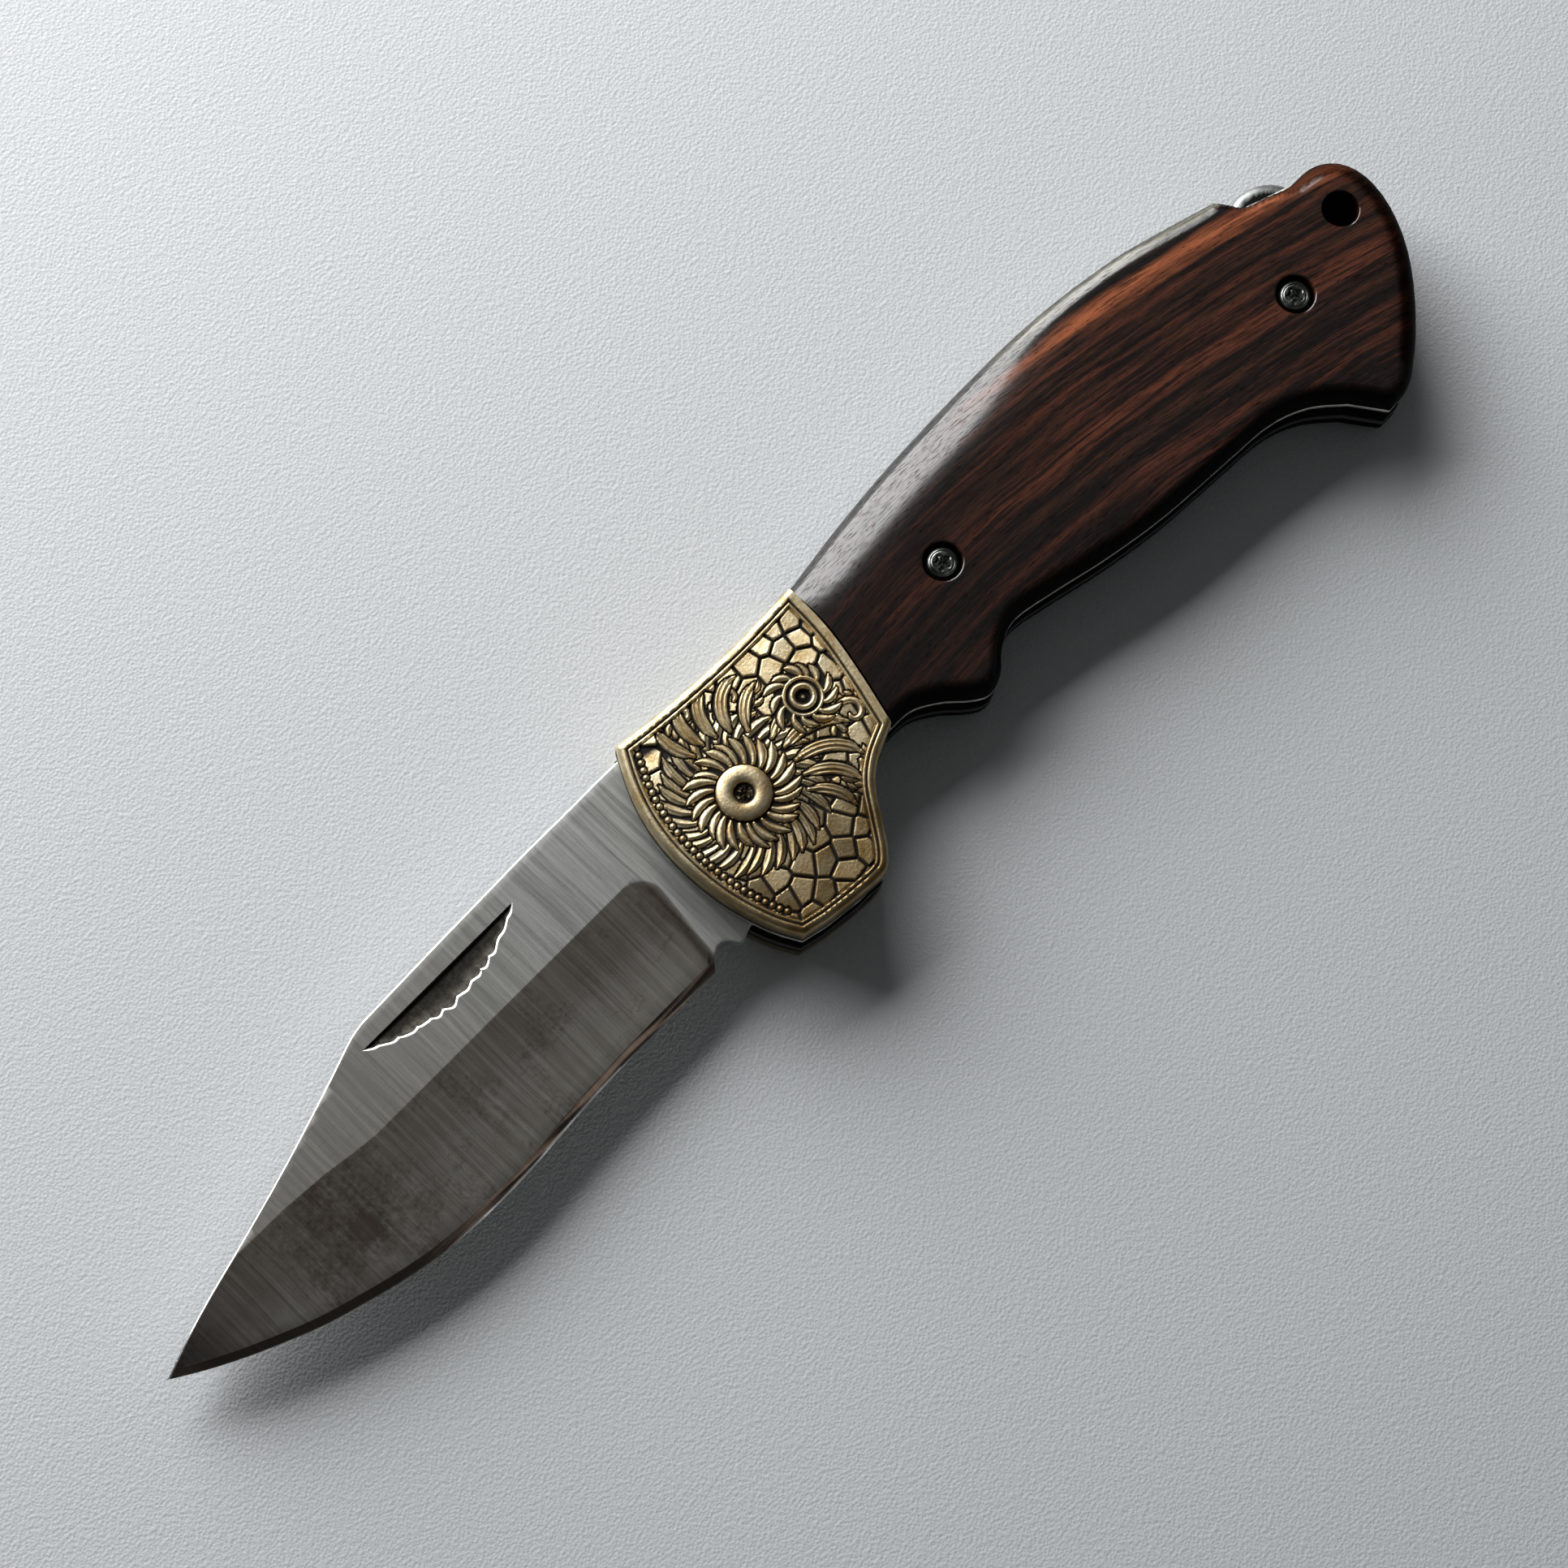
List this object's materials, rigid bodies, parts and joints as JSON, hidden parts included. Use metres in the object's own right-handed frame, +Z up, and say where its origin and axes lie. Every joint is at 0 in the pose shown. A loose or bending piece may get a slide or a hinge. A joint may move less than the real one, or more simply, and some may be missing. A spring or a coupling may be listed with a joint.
{
  "type": "folding pocket knife",
  "caption": "Lock-back folding knife with a clip-point blade, engraved brass bolsters, dark striped wood scales and a lanyard hole.",
  "frame": {"origin": "on the blade's pivot axis, on the surface that the open knife lies on", "axes": "+X from the pivot to the butt, so the open blade points along -X; +Y to the spine; +Z up to the near side"},
  "size_m": [0.2119, 0.0401, 0.0142],
  "materials": {
    "blade_steel": "ground flats with fine lines across the blade, mottled grey-brown bevel",
    "spring_steel": "satin, worn bright on its edges",
    "liner_steel": "satin edges",
    "screw_steel": "dull with bright rims",
    "antique_brass": "relief with dark recesses and rubbed bright crests",
    "dark_wood": "dark brown with black and red-brown streaks, oiled satin gloss",
    "washer_bronze": "plain thin sheet"
  },
  "bodies": {
    "handle": {"lock_spring": "spring_steel", "rear_spacer": "liner_steel", "lock_bar_pin": "screw_steel", "spacer_pin_upper": "screw_steel", "spacer_pin_lower": "screw_steel", "pivot_barrel": "antique_brass", "pivot_screw": "antique_brass", "near_liner": "liner_steel", "near_bolster": "antique_brass", "near_scale": "dark_wood", "near_washer": "washer_bronze", "near_bolster_rivet": "antique_brass", "near_screw_front": "screw_steel", "near_screw_rear": "screw_steel", "far_liner": "liner_steel", "far_bolster": "antique_brass", "far_scale": "dark_wood", "far_washer": "washer_bronze", "far_bolster_rivet": "antique_brass", "far_screw_front": "screw_steel", "far_screw_rear": "screw_steel"},
    "blade": {"blade": "blade_steel"},
    "lock_bar": {"lock_bar": "spring_steel"}
  },
  "joints": [
    {"name": "blade_pivot", "type": "hinge", "parent": "handle", "child": "blade", "pos_m": [0, 0, 0.007], "axis": [0, 0, 1], "range_deg": [0, 171]},
    {"name": "lock_bar_rocker", "type": "hinge", "parent": "handle", "child": "lock_bar", "pos_m": [0.052, 0.0123, 0.007], "axis": [0, 0, 1], "range_deg": [-0.7, 1.9], "stiffness_Nm_per_rad": 0.5, "springref_deg": 22.92}
  ]
}
